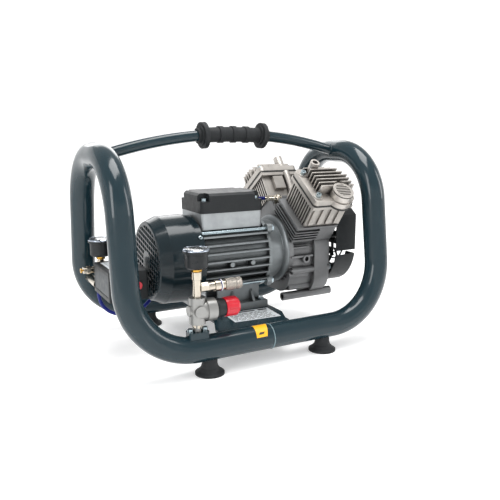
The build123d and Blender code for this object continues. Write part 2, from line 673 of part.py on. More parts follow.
def make_outlet():
    body = hex_z(17, 94.5, 103, OUT_X, OUT_Y) + cyl_z(7, 88, 95, OUT_X, OUT_Y)
    body += cyl_z(15.5, 103, 153, OUT_X, OUT_Y)
    body += cyl_x(19, OUT_X, -138, OUT_Y, REG_Z) + cyl_x(21.5, -138, -120, OUT_Y, REG_Z)
    body += cyl_y(11, OUT_Y - 19, OUT_Y, OUT_X, REG_Z + 2) + cyl_x(10, OUT_X - 18, OUT_X, OUT_Y, REG_Z + 2)
    body -= cyl_x(12, -140, -119, OUT_Y, REG_Z)
    body -= cyl_z(4, 87, 160, OUT_X, OUT_Y)
    save(body, "regulator_body")
    bonnet = turned_x([(-120, 4.05), (-120, 18.5), (-114, 19), (-100, 16.8), (-100, 4.05)], OUT_Y, REG_Z)
    save(bonnet, "regulator_bonnet")
    knob = turned_x([(-130, 0), (-130, 4), (-99.5, 4), (-99.5, 18.2), (-96, 18.8), (-76, 18.8), (-71, 15), (-69.5, 8),
                     (-69.5, 0)], OUT_Y, REG_Z)
    for k in range(12):
        groove = cyl_x(2.0, -96, -66, 0, 20.2)
        knob -= Pos(0, OUT_Y, REG_Z) * Rot(30 * k, 0, 0) * groove
    save(knob, "regulator_knob")

    tee = cyl_z(7.9, 153, 187, OUT_X, OUT_Y) + cyl_z(9.6, 187, 201, OUT_X, OUT_Y)
    tee += hex_x(16, OUT_X + 6, -132, OUT_Y, BRANCH_Z) + cyl_x(8.6, -132, -119, OUT_Y, BRANCH_Z)
    tee -= cyl_z(4, 150, 202, OUT_X, OUT_Y) + cyl_x(4, OUT_X, -118, OUT_Y, BRANCH_Z)
    save(tee, "outlet_tee")
    save(gauge_case(OUT_X, OUT_Y, 208), "outlet_gauge")
    save(gauge_pointer(OUT_X, OUT_Y, 208, 200), "outlet_pointer")

    socket = turned_x([(-119, 4), (-119, 10.5), (-104, 10.5), (-104, 8.5), (-66, 8.5), (-66, 5.5), (-112, 5.5),
                       (-112, 4)], OUT_Y, BRANCH_Z)
    save(socket, "coupler_body")
    sleeve = turned_x([(-97, 8.55), (-97, 10.6), (-94, 11.6), (-78, 11.6), (-76, 10.4), (-73, 10.4), (-71, 11.6),
                       (-66, 11.6), (-64, 10.4), (-64, 8.55)], OUT_Y, BRANCH_Z)
    save(sleeve, "coupler_sleeve")


# ---------------------------------------------------------------- pressure switch group
def make_switch_group(left_full):
    x0, x1 = SWITCH_X
    y0, y1 = SWITCH_Y
    z0, z1 = SWITCH_Z
    box = block(x0, x1, y0, y1, z0, z1)
    box = fillet(box.edges().filter_by(Axis.Z), 4)
    box = chamfer(box.faces().sort_by(Axis.Z)[-1].edges(), 2.5)
    box -= block(x0 + 3, x1 - 3, y0 + 3, y1 - 3, z0 + 3, z1 - 3)
    box -= block(x0 - 1, x0 + 1, y0 + 8, y1 - 8, z0 + 8, z1 - 8)
    button_x, button_z = -228.0, 158.0
    box += cyl_y(11, y0 - 2, y0 + 1, button_x, button_z)
    box -= cyl_y(8.3, y0 - 5, y0 + 5, button_x, button_z)
    box -= cyl_z(5.9, z0 - 1, z0 + 5, -240, 20)
    save(box, "pressure_switch")
    button = cyl_y(8, y0 - 8, y0 - 1, button_x, button_z) + cyl_y(8, y0 - 1.5, y0 + 12, button_x, button_z)
    save(button, "switch_button")

    bar = cyl_y(9, y1, 150, MANIFOLD_X, MANIFOLD_Z) + cyl_z(6.5, MANIFOLD_Z, 189, RISER_X, RISER_Y)
    bar += cyl_x(8, MANIFOLD_X, RISER_X, RISER_Y, MANIFOLD_Z) + Pos(RISER_X, RISER_Y, MANIFOLD_Z) * Sphere(8)
    bar += cyl_x(7, -286, RISER_X, RISER_Y, 168) + hex_z(15, 176, 186, RISER_X, RISER_Y)
    bar += cyl_z(9.5, HOSE_ROUTE[0][2] + 10, MANIFOLD_Z, HOSE_ROUTE[0][0], HOSE_ROUTE[0][1])
    bar -= left_full
    bar = bar.solids().sort_by(SortBy.VOLUME)[-1]
    bar -= cyl_y(4, 70, 150, MANIFOLD_X, MANIFOLD_Z)
    save(bar, "tank_manifold")
    save(gauge_case(RISER_X, RISER_Y, 196), "tank_gauge")
    save(gauge_pointer(RISER_X, RISER_Y, 196, 150), "tank_pointer")
    valve = hex_x(15, -293, -286, RISER_Y, 168) + cyl_x(7, -300, -293, RISER_Y, 168)
    valve -= cyl_x(2.05, -301, -288, RISER_Y, 168)
    save(valve, "safety_valve")
    pull = cyl_x(2.0, -306, -290, RISER_Y, 168) + cyl_x(5, -305.5, -303, RISER_Y, 168)
    save(pull, "safety_pull")
    glands = [cyl_z(5.9, z0 - 4, z0 + 5, -240, 20) + cyl_z(9, z0 - 12, z0 - 1e-9, -240, 20)]
    glands = [glands[0] - cyl_z(3.5, z0 - 14, z0 + 6, -240, 20)]
    return glands


# ---------------------------------------------------------------- delivery hose
def route_radii(route):
    """Each corner's arc takes 0.45 of its shorter run."""
    points = [Vector(*p) for p in route]
    radii = []
    for before, here, after in zip(points, points[1:], points[2:]):
        run_in = here - before
        run_out = after - here
        turn = radians(run_in.get_angle(run_out))
        radii.append(0.45 * min(run_in.length, run_out.length) / tan(turn / 2))
    return radii


def make_hose():
    radii = route_radii(HOSE_ROUTE)
    print("hose bend radii", [round(r, 1) for r in radii])
    line = FilletPolyline(*HOSE_ROUTE, radius=radii)
    hose = along(line, Circle(HOSE_D / 2))
    section = pi * HOSE_D ** 2 / 4
    print("hose length", round(line.length, 1), "volume ratio", round(hose.volume / (section * line.length), 4))
    save(hose, "delivery_hose")
    x, y, z = HOSE_ROUTE[0]
    inlet = hex_z(13, z, z + 10, x, y) - cyl_z(2.5, z - 1, z + 11, x, y)
    x, y, z = ELBOW
    elbow = cyl_z(7, z - 12, z, x, y) + hex_z(17, z - 12, z - 4, x, y) + Pos(x, y, z) * Sphere(9)
    way = Vector(*HOSE_ROUTE[-1]) - Vector(*ELBOW)
    arm = Plane(origin=ELBOW, z_dir=way)
    elbow += arm * Pos(0, 0, way.length / 2) * Cylinder(6, way.length)
    elbow += arm * Pos(0, 0, way.length - 9) * extrude(RegularPolygon(7, 6), 6)
    elbow -= cyl_z(3.5, z - 13, z, x, y)
    save(Compound(children=[inlet, elbow]), "hose_fittings")


def main():
    left_full = make_frame()
    make_handle()
    make_feet()
    make_base_plate()
    make_drain()
    make_motor_housing()
    foot_bolts = make_motor_foot()
    make_stator_and_rotor()
    make_shields()
    make_bearings()
    make_motor_fan()
    make_cowl()
    lid_screws, box_glands = make_terminal_box()
    make_crankcase()
    make_cylinders()
    make_running_gear()
    make_cooling_fan()
    make_air_guides()
    make_outlet()
    switch_glands = make_switch_group(left_full)
    make_hose()
    make_fasteners(lid_screws, foot_bolts)
    save(Compound(children=box_glands + switch_glands), "cable_glands")


main()
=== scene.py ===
"""Studio scene of a portable two-cylinder air compressor.

Metres, in the CAD frame: +X to the pump, +Y back, +Z up, the floor at Z = 0.
"""
import json
import math

import bmesh
import bpy
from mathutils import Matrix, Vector


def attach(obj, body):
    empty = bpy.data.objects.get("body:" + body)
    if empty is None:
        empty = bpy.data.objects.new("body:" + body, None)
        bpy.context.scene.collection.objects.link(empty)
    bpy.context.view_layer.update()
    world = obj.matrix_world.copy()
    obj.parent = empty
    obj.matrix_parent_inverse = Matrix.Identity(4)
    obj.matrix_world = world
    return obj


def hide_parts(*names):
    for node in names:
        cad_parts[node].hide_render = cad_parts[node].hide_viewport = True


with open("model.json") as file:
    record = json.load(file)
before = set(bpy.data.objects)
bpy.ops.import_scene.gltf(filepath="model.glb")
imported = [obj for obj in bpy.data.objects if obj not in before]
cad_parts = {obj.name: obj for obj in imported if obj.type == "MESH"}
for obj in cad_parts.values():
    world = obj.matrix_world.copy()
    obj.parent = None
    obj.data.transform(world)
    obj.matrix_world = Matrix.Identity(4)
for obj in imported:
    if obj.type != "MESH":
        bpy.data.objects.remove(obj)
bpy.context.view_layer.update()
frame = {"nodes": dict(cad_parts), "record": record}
nodes = frame["nodes"]
BODY = "frame_and_castings"
MM = 0.001

# Where the CAD parts are.
RAIL_Y = 0.169
RAIL_Z = 0.052
TUBE_R = 0.025
BAR_R = 0.0113
ARCH_X = 0.282
ARCH_Z = 0.406
BAR_CROWN_Z = 0.445
BAR_ARC_R = (0.281 ** 2 + 0.042 ** 2) / (2 * 0.042)
PLATE_Z = 0.074
AXIS_Z = 0.192
OUT_X = -0.154
OUT_Y = -0.169
COUPLER_Z = 0.170
SWITCH_TOP_Z = 0.188
SWITCH_SIDE_X = -0.2822

scene = bpy.context.scene


# ---------------------------------------------------------------- camera
CAMERA_AT = Vector((-0.5793, -1.1448, 0.4530))
CAMERA_AIM = Vector((0.0501, 0.0, 0.1920))
camera_data = bpy.data.cameras.new("camera")
camera_data.lens = 43.085
camera_data.sensor_width = 36.0
camera = bpy.data.objects.new("camera", camera_data)
scene.collection.objects.link(camera)
camera.location = CAMERA_AT
camera.rotation_mode = "QUATERNION"
camera.rotation_quaternion = (CAMERA_AIM - CAMERA_AT).to_track_quat("-Z", "Y")
scene.camera = camera


# ---------------------------------------------------------------- delivery hose
HOSE_D = 0.008
HOSE_ROUTE = [
    (-0.266, 0.098, 0.118), (-0.266, 0.098, 0.097), (-0.257, 0.096, 0.078), (-0.241, 0.092, 0.0645),
    (-0.219, 0.0865, 0.059), (-0.195, 0.081, 0.062), (-0.173, 0.077, 0.073), (-0.153, 0.078, 0.092),
    (-0.124, 0.094, 0.112), (-0.084, 0.108, 0.128), (-0.034, 0.113, 0.146), (0.014, 0.115, 0.172),
    (0.048, 0.112, 0.208), (0.062, 0.102, 0.244), (0.064, 0.086, 0.272), (0.070, 0.064, 0.292),
    (0.082, 0.040, 0.302), (0.102, 0.020, 0.303),
]

hose_curve = bpy.data.curves.new("delivery_hose_line", "CURVE")
hose_curve.dimensions = "3D"
hose_curve.bevel_depth = 1.0
hose_curve.bevel_resolution = 8
hose_curve.resolution_u = 10
spline = hose_curve.splines.new("NURBS")
spline.points.add(len(HOSE_ROUTE) - 1)
for point, place in zip(spline.points, HOSE_ROUTE):
    point.co = (*place, 1.0)
    point.radius = HOSE_D / 2
spline.order_u = 3
spline.use_endpoint_u = True
hose = bpy.data.objects.new("blue_delivery_hose", hose_curve)
scene.collection.objects.link(hose)
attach(hose, BODY)
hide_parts("delivery_hose")


# ---------------------------------------------------------------- materials
class Nodes:
    """Short names for building one node material."""

    def __init__(self, name):
        self.material = bpy.data.materials.new(name)
        self.material.use_nodes = True
        self.tree = self.material.node_tree
        self.tree.nodes.clear()
        self.coords = self.add("ShaderNodeTexCoord").outputs["Object"]
        self.output = self.add("ShaderNodeOutputMaterial")

    def add(self, kind, **settings):
        node = self.tree.nodes.new(kind)
        for key, value in settings.items():
            setattr(node, key, value)
        return node

    def link(self, a, b):
        self.tree.links.new(a, b)

    def noise(self, scale, detail=3.0, rough=0.5):
        node = self.add("ShaderNodeTexNoise")
        node.inputs["Scale"].default_value = scale
        node.inputs["Detail"].default_value = detail
        node.inputs["Roughness"].default_value = rough
        self.link(self.coords, node.inputs["Vector"])
        return node.outputs["Fac"]

    def spread(self, value, low, high, start=0.3, end=0.7):
        """Map a texture value to the range low..high."""
        node = self.add("ShaderNodeMapRange")
        node.inputs["From Min"].default_value = start
        node.inputs["From Max"].default_value = end
        node.inputs["To Min"].default_value = low
        node.inputs["To Max"].default_value = high
        self.link(value, node.inputs["Value"])
        return node.outputs["Result"]

    def mix(self, factor, a, b, blend="MIX"):
        """Blend two colours; each value is a number, a colour or a socket."""
        node = self.add("ShaderNodeMix", data_type="RGBA", blend_type=blend)
        for key, kind, value in (("Factor", "VALUE", factor), ("A", "RGBA", a), ("B", "RGBA", b)):
            socket = next(s for s in node.inputs if s.name == key and s.type == kind)
            if isinstance(value, (int, float)):
                socket.default_value = value
            elif isinstance(value, tuple):
                socket.default_value = (*value, 1.0)
            else:
                self.link(value, socket)
        return next(s for s in node.outputs if s.type == "RGBA")

    def bump(self, height, strength, distance, normal=None):
        node = self.add("ShaderNodeBump")
        node.inputs["Strength"].default_value = strength
        node.inputs["Distance"].default_value = distance
        self.link(height, node.inputs["Height"])
        if normal is not None:
            self.link(normal, node.inputs["Normal"])
        return node.outputs["Normal"]


def linear(r, g, b):
    """Linear colour from 0..255 display values."""
    def one(v):
        v /= 255.0
        return v / 12.92 if v <= 0.04045 else ((v + 0.055) / 1.055) ** 2.4
    return (one(r), one(g), one(b))


# Reach of the ambient occlusion behind the painted shade in crevices and between parts.
PAINTED_SHADE_DEPTH = 14 * MM
COAT_ROUGHNESS = 0.06


def surface(name, colour, rough, metal=0.0, mottle=0.08, mottle_scale=25.0, grain=0.0, grain_scale=900.0,
            grain_depth=0.15, coat=0.0, round_edge=0.0, painted_shade=0.0, specular=0.5):
    """A painted, moulded or cast surface: mottled colour, uneven gloss, grain, soft edges, and painted shade
    that darkens crevices and gaps.
    """
    n = Nodes(name)
    shader = n.add("ShaderNodeBsdfPrincipled")
    n.link(shader.outputs["BSDF"], n.output.inputs["Surface"])
    dark = tuple(c * (1 - mottle) for c in colour)
    light = tuple(min(1.0, c * (1 + mottle)) for c in colour)
    tone = n.mix(n.spread(n.noise(mottle_scale, 4.0, 0.6), 0.0, 1.0), dark, light)
    # Painted shade: the ambient occlusion darkens the colour in crevices, corners and between parts.
    if painted_shade:
        occlusion = n.add("ShaderNodeAmbientOcclusion")
        occlusion.samples = 4
        occlusion.inputs["Distance"].default_value = PAINTED_SHADE_DEPTH
        shade = n.spread(occlusion.outputs["AO"], 1 - painted_shade, 1.0, 0.15, 0.85)
        tone = n.mix(1.0, tone, shade_colour(n, shade), "MULTIPLY")
    n.link(tone, shader.inputs["Base Color"])
    shader.inputs["Metallic"].default_value = metal
    shader.inputs["Specular IOR Level"].default_value = specular
    spread = n.spread(n.noise(mottle_scale * 3.1, 5.0, 0.65), rough * 0.85, min(1.0, rough * 1.2))
    n.link(spread, shader.inputs["Roughness"])
    normal = None
    if round_edge:
        bevel = n.add("ShaderNodeBevel")
        bevel.samples = 4
        bevel.inputs["Radius"].default_value = round_edge * MM
        normal = bevel.outputs["Normal"]
    if grain:
        normal = n.bump(n.noise(grain_scale, 4.0, 0.65), grain, grain_depth * MM, normal)
    if normal is not None:
        n.link(normal, shader.inputs["Normal"])
    if coat:
        shader.inputs["Coat Weight"].default_value = coat
        shader.inputs["Coat Roughness"].default_value = COAT_ROUGHNESS
    return n.material


def shade_colour(n, value):
    node = n.add("ShaderNodeCombineColor")
    for key in ("Red", "Green", "Blue"):
        n.link(value, node.inputs[key])
    return node.outputs["Color"]


# Where painted_shade is given, painted shade darkens the surface's crevices and gaps by that much.
paint = surface("frame_paint", linear(23, 42, 49), 0.17, mottle=0.04, mottle_scale=9.0, coat=0.2,
                round_edge=0.8, specular=0.3)
cowl_paint = surface("cowl_paint", linear(22, 34, 39), 0.17, mottle=0.04, mottle_scale=9.0, coat=0.12,
                     round_edge=0.6, specular=0.25)
# The rail seam bead's pale colour is a painted highlight along the weld; the real seam has the frame paint.
seam_highlight_paint = surface("seam_highlight_paint", linear(104, 126, 132), 0.25, mottle=0.06, mottle_scale=200.0, coat=0.2)
rubber = surface("black_rubber", linear(36, 38, 40), 0.62, mottle=0.12, grain=0.25, grain_scale=1400.0,
                 round_edge=0.8, painted_shade=0.4, specular=0.25)
pump_cast = surface("pump_casting", linear(188, 183, 177), 0.36, metal=0.8, mottle=0.10, grain=0.4,
                    grain_scale=1100.0, round_edge=0.8, painted_shade=0.93)
case_cast = surface("crankcase_casting", linear(120, 121, 122), 0.44, metal=0.7, mottle=0.10, grain=0.35,
                    grain_scale=1000.0, round_edge=1.0, painted_shade=0.9)
motor_cast = surface("motor_casting", linear(124, 129, 131), 0.40, metal=0.65, mottle=0.08, grain=0.2,
                     grain_scale=1000.0, round_edge=0.6, painted_shade=0.88)
box_cast = surface("box_casting", linear(158, 162, 164), 0.42, metal=0.7, mottle=0.12, mottle_scale=40.0,
                   grain=0.25, grain_scale=900.0, round_edge=0.8, painted_shade=0.3)
steel = surface("forged_steel", linear(120, 122, 124), 0.35, metal=1.0, grain=0.1, round_edge=0.5)
zinc = surface("zinc_steel", linear(165, 180, 186), 0.28, metal=1.0, mottle=0.06, mottle_scale=120.0,
               grain=0.08, round_edge=0.5)
nickel = surface("nickel", linear(192, 184, 170), 0.20, metal=1.0, mottle=0.05, mottle_scale=80.0, grain=0.05,
                 round_edge=0.5, painted_shade=0.5)
regulator_cast = surface("regulator_casting", linear(150, 150, 148), 0.40, metal=0.8, mottle=0.07, grain=0.35,
                         round_edge=1.0, painted_shade=0.5)
winding = surface("stator_core", linear(120, 80, 50), 0.5, metal=0.5, grain=0.4, grain_scale=500.0)
plastic = surface("black_plastic", linear(27, 30, 32), 0.45, mottle=0.06, grain=0.3, grain_scale=1500.0,
                  grain_depth=0.1, round_edge=1.0, specular=0.3)
gauge_black = surface("black_gauge", linear(26, 29, 31), 0.30, mottle=0.05, grain=0.05, round_edge=0.8,
                      specular=0.3)
red = surface("red_plastic", linear(188, 18, 38), 0.3, mottle=0.05, coat=0.2, grain=0.1, round_edge=0.8)
pointer_paint = surface("pointer_paint", linear(22, 22, 24), 0.5, grain=0.1)
brass = surface("brass", linear(196, 150, 66), 0.26, metal=1.0, mottle=0.08, mottle_scale=90.0, round_edge=0.4)
blue = surface("blue_hose", linear(8, 24, 104), 0.34, mottle=0.08, mottle_scale=60.0, grain=0.08, specular=0.3)
gasket = surface("dark_gasket", linear(48, 48, 47), 0.55, metal=0.3, mottle=0.1, grain=0.2)
chrome = surface("polished_chrome", linear(172, 180, 192), 0.14, metal=1.0, mottle=0.03, mottle_scale=60.0)
dial_white = surface("dial_white", linear(232, 233, 230), 0.5, mottle=0.02)
print_black = surface("print_black", linear(38, 40, 42), 0.5, mottle=0.05)
label_silver = surface("label_silver", linear(214, 219, 222), 0.40, metal=0.15, mottle=0.04, mottle_scale=70.0)
label_yellow = surface("label_yellow", linear(235, 172, 20), 0.36, mottle=0.05, mottle_scale=50.0, coat=0.2)
grey_panel = surface("grey_panel", linear(50, 55, 58), 0.5, mottle=0.06, grain=0.2, grain_scale=1200.0)


GLASS_IOR = 1.45
HEAD_ON_FRESNEL, FLAT_FRESNEL = 0.03, 0.45
HEAD_ON_SHEEN, FLAT_SHEEN = 0.02, 0.62


def clear_window():
    """A thin clear pane: see-through with a soft sheen that grows at flat angles."""
    n = Nodes("clear_window")
    through = n.add("ShaderNodeBsdfTransparent")
    gloss = n.add("ShaderNodeBsdfGlossy")
    n.link(n.spread(n.noise(30.0), 0.03, 0.08), gloss.inputs["Roughness"])
    fresnel = n.add("ShaderNodeFresnel")
    fresnel.inputs["IOR"].default_value = GLASS_IOR
    both = n.add("ShaderNodeMixShader")
    sheen = n.spread(fresnel.outputs["Fac"], HEAD_ON_SHEEN, FLAT_SHEEN, HEAD_ON_FRESNEL, FLAT_FRESNEL)
    n.link(sheen, both.inputs["Fac"])
    n.link(through.outputs["BSDF"], both.inputs[1])
    n.link(gloss.outputs["BSDF"], both.inputs[2])
    n.link(both.outputs["Shader"], n.output.inputs["Surface"])
    return n.material


window = clear_window()
KNURL_PER_METRE = 2200.0
KNURL_TURNS = 26.0


def knurled(name, colour, centre_y, centre_z):
    """Nickel with fine grooves that run round a part turned about X, in two crossed sets."""
    material = surface(name, colour, 0.22, metal=1.0, mottle=0.05, mottle_scale=80.0, round_edge=0.4)
    tree = material.node_tree
    coords = tree.nodes["Texture Coordinate"].outputs["Object"]
    shader = tree.nodes["Principled BSDF"]
    edge = shader.inputs["Normal"].links[0].from_socket

    def maths(kind, a, b=None):
        node = tree.nodes.new("ShaderNodeMath")
        node.operation = kind
        for socket, value in zip(node.inputs, (a, b)):
            if value is None:
                continue
            if isinstance(value, (int, float)):
                socket.default_value = value
            else:
                tree.links.new(value, socket)
        return node.outputs["Value"]

    split = tree.nodes.new("ShaderNodeSeparateXYZ")
    tree.links.new(coords, split.inputs["Vector"])
    angle = maths("ARCTAN2", maths("SUBTRACT", split.outputs["Y"], centre_y),
                  maths("SUBTRACT", split.outputs["Z"], centre_z))
    along = maths("MULTIPLY", split.outputs["X"], KNURL_PER_METRE)
    turn = maths("MULTIPLY", angle, KNURL_TURNS)
    height = maths("MULTIPLY", maths("SINE", maths("ADD", turn, along)),
                   maths("SINE", maths("SUBTRACT", turn, along)))
    bump = tree.nodes.new("ShaderNodeBump")
    bump.inputs["Strength"].default_value = 0.7
    bump.inputs["Distance"].default_value = 0.4 * MM
    tree.links.new(height, bump.inputs["Height"])
    tree.links.new(edge, bump.inputs["Normal"])
    tree.links.new(bump.outputs["Normal"], shader.inputs["Normal"])
    return material


knurled_nickel = knurled("knurled_nickel", linear(162, 156, 148), OUT_Y, COUPLER_Z)

by_slot = {
    "frame_paint": paint, "cowl_paint": cowl_paint, "black_rubber": rubber, "pump_casting": pump_cast,
    "crankcase_casting": case_cast, "motor_casting": motor_cast, "box_casting": box_cast,
    "piston_metal": pump_cast, "forged_steel": steel, "zinc_steel": zinc, "nickel": nickel,
    "regulator_casting": regulator_cast, "stator_core": winding, "black_plastic": plastic,
    "black_gauge": gauge_black, "red_plastic": red, "pointer_paint": pointer_paint, "brass": brass,
    "blue_hose": blue,
}
for part in frame["record"]["subparts"]:
    mesh = nodes[part["node"]].data
    mesh.materials.clear()
    mesh.materials.append(by_slot[part["material_slot"]])
for name in ("front_valve_plate", "rear_valve_plate"):
    nodes[name].data.materials[0] = gasket
nodes["coupler_sleeve"].data.materials[0] = knurled_nickel
hose_curve.materials.append(blue)


# ---------------------------------------------------------------- mesh helpers
def face_outwards(mesh):
    """Turn every face outwards, as a mirrored outline comes out with its faces turned in."""
    shape = bmesh.new()
    shape.from_mesh(mesh)
    bmesh.ops.recalc_face_normals(shape, faces=shape.faces)
    shape.to_mesh(mesh)
    shape.free()


def piece(name, verts, faces, material, smooth=True, bevel=0.0, flat_angle=35.0):
    """One mesh piece that rides on the frame's body; edges past flat_angle stay sharp."""
    mesh = bpy.data.meshes.new(name)
    mesh.from_pydata([tuple(v) for v in verts], [], faces)
    mesh.materials.append(material)
    mesh.validate()
    face_outwards(mesh)
    obj = bpy.data.objects.new(name, mesh)
    scene.collection.objects.link(obj)
    if smooth:
        mesh.shade_smooth()
        mesh.set_sharp_from_angle(angle=math.radians(flat_angle))
    if bevel:
        modifier = obj.modifiers.new("edges", "BEVEL")
        modifier.width = bevel
        modifier.segments = 2
        modifier.limit_method = "ANGLE"
        modifier.angle_limit = math.radians(30)
    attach(obj, BODY)
    return obj


def frame_along(direction):
    """Two unit vectors square to a direction."""
    direction = Vector(direction).normalized()
    helper = Vector((0, 0, 1)) if abs(direction.z) < 0.9 else Vector((1, 0, 0))
    u = direction.cross(helper).normalized()
    return u, direction.cross(u)


def lathe(name, profile, at, axis, material, segments=48):
    """A turned shape: profile is (distance along the axis, radius) pairs from one end to the other."""
    axis = Vector(axis).normalized()
    u, v = frame_along(axis)
    at = Vector(at)
    verts, faces = [], []
    for along, radius in profile:
        for k in range(segments):
            a = 2 * math.pi * k / segments
            verts.append(at + axis * along + (u * math.cos(a) + v * math.sin(a)) * radius)
    for ring in range(len(profile) - 1):
        for k in range(segments):
            a, b = ring * segments + k, ring * segments + (k + 1) % segments
            faces.append((a, b, b + segments, a + segments))
    faces.append(tuple(range(segments))[::-1])
    last = (len(profile) - 1) * segments
    faces.append(tuple(range(last, last + segments)))
    return piece(name, verts, faces, material)


def turned_ring(name, section, at, axis, material, segments=64):
    """A ring turned from a closed section of (distance along the axis, radius) points."""
    axis = Vector(axis).normalized()
    u, v = frame_along(axis)
    at = Vector(at)
    count = len(section)
    verts, faces = [], []
    for k in range(segments):
        a = 2 * math.pi * k / segments
        out = u * math.cos(a) + v * math.sin(a)
        verts += [at + axis * along + out * radius for along, radius in section]
        nxt = (k + 1) % segments
        faces += [(k * count + i, k * count + (i + 1) % count, nxt * count + (i + 1) % count, nxt * count + i)
                  for i in range(count)]
    return piece(name, verts, faces, material)


def tube_patch(name, corners, radius, thickness, material):
    """A thin label wrapped on the front rail; corners are (x, angle from the top towards the front)."""
    steps = 14
    (xa, ta), (xb, tb), (xc, tc), (xd, td) = corners
    verts, faces = [], []
    for lift in (0.0, thickness):
        for i in range(steps + 1):
            t = i / steps
            for f in range(steps + 1):
                w = f / steps
                x = (1 - t) * ((1 - w) * xa + w * xb) + t * ((1 - w) * xd + w * xc)
                angle = math.radians((1 - t) * ((1 - w) * ta + w * tb) + t * ((1 - w) * td + w * tc))
                r = radius + lift
                verts.append((x, -RAIL_Y - r * math.sin(angle), RAIL_Z + r * math.cos(angle)))
    row = steps + 1
    top = row * row
    for i in range(steps):
        for f in range(steps):
            a = i * row + f
            faces.append((a, a + 1, a + row + 1, a + row))
            faces.append((top + a, top + a + row, top + a + row + 1, top + a + 1))
    for i in range(steps):
        for a, b in ((i, i + 1), (steps * row + i + 1, steps * row + i),
                     ((i + 1) * row, i * row), (i * row + steps, (i + 1) * row + steps)):
            faces.append((a, top + a, top + b, b))
    return piece(name, verts, faces, material, flat_angle=50.0)


def weld(name, path, radius, ripple, ripple_length, material=paint, closed=True):
    """A weld bead along a path; its radius rises and falls along the way."""
    sides = 10
    path = [Vector(p) for p in path]
    count = len(path)
    verts, faces = [], []
    travelled = 0.0
    normal = None
    for i, p in enumerate(path):
        before = path[(i - 1) % count] if closed or i else path[0]
        after = path[(i + 1) % count] if closed or i < count - 1 else path[-1]
        tangent = (after - before).normalized()
        if normal is None:
            normal = frame_along(tangent)[0]
        normal = (normal - tangent * normal.dot(tangent)).normalized()
        side = tangent.cross(normal)
        if i:
            travelled += (p - path[i - 1]).length
        r = radius * (1 + ripple * math.sin(2 * math.pi * travelled / ripple_length))
        for k in range(sides):
            a = 2 * math.pi * k / sides
            verts.append(p + (normal * math.cos(a) + side * math.sin(a)) * r)
    rings = count if closed else count - 1
    for i in range(rings):
        for k in range(sides):
            a, b = i * sides + k, i * sides + (k + 1) % sides
            c, d = ((i + 1) % count) * sides + (k + 1) % sides, ((i + 1) % count) * sides + k
            faces.append((a, b, c, d))
    if not closed:
        faces.append(tuple(range(sides))[::-1])
        faces.append(tuple(range((count - 1) * sides, count * sides)))
    return piece(name, verts, faces, material, flat_angle=60.0)


def slab(name, outline, thickness, place, material, bevel=0.0):
    """A flat shape of some thickness: outline is (u, v) pairs, place maps (u, v, height) to the frame."""
    count = len(outline)
    verts = [place(u, v, 0.0) for u, v in outline] + [place(u, v, thickness) for u, v in outline]
    faces = [tuple(range(count))[::-1], tuple(range(count, 2 * count))]
    faces += [(k, (k + 1) % count, count + (k + 1) % count, count + k) for k in range(count)]
    return piece(name, verts, faces, material, smooth=False, bevel=bevel)


# The six faces of a box whose first four corners are its base and last four its top.
BOX_FACES = ((3, 2, 1, 0), (4, 5, 6, 7), (0, 1, 5, 4), (1, 2, 6, 5), (2, 3, 7, 6), (3, 0, 4, 7))


INK_THICK = 0.0001


def print_bars(name, boxes, place):
    """Many small printed rectangles as one mesh; boxes are (u0, v0, u1, v1)."""
    verts, faces = [], []
    for u0, v0, u1, v1 in boxes:
        base = len(verts)
        corners = ((u0, v0), (u1, v0), (u1, v1), (u0, v1))
        verts += [place(u, v, 0.0) for u, v in corners] + [place(u, v, INK_THICK) for u, v in corners]
        faces += [tuple(base + i for i in face) for face in BOX_FACES]
    return piece(name, verts, faces, print_black, smooth=False)


# ---------------------------------------------------------------- frame details
def rail_point(x, angle, side):
    """A point on a rail's skin; the angle runs from the top towards the outside."""
    a = math.radians(angle)
    return (x, side * (RAIL_Y + TUBE_R * math.sin(a)), RAIL_Z + TUBE_R * math.cos(a))


BEAD_STEPS = 28
PLATE_WELD_Y = 0.1576
PLATE_WELD_Z = 0.0742
for side, name in ((-1, "front"), (1, "rear")):
    # The seam bead is coloured with a painted highlight.
    seam = [rail_point(0.0, 6 * k, side) for k in range(60)]
    weld(f"{name}_rail_seam_weld", seam, 0.0010, 0.12, 0.004, seam_highlight_paint)
    for place, x0, x1 in (("left", -0.092, -0.064), ("middle", -0.036, -0.008), ("right", 0.018, 0.046)):
        line = [(x0 + (x1 - x0) * k / BEAD_STEPS, side * PLATE_WELD_Y, PLATE_WELD_Z)
                for k in range(BEAD_STEPS + 1)]
        weld(f"{name}_plate_weld_{place}", line, 0.0013, 0.22, 0.003, closed=False)

# Where the carrying bar meets each arch: the bar's arc gives z at x and the arch's tube x at z, in turns.
WELD_STEPS = 72
for side, name in ((-1, "left"), (1, "right")):
    path = []
    for k in range(WELD_STEPS):
        a = 2 * math.pi * k / WELD_STEPS
        x = ARCH_X - TUBE_R
        for _ in range(3):
            z = BAR_CROWN_Z - BAR_ARC_R + math.sqrt(BAR_ARC_R ** 2 - x ** 2) + BAR_R * math.sin(a)
            x = ARCH_X - math.sqrt(max(TUBE_R ** 2 - (z - ARCH_Z) ** 2, 0.0))
        path.append((side * x, BAR_R * math.cos(a), z))
    weld(f"{name}_bar_weld", path, 0.0019, 0.16, 0.0032)

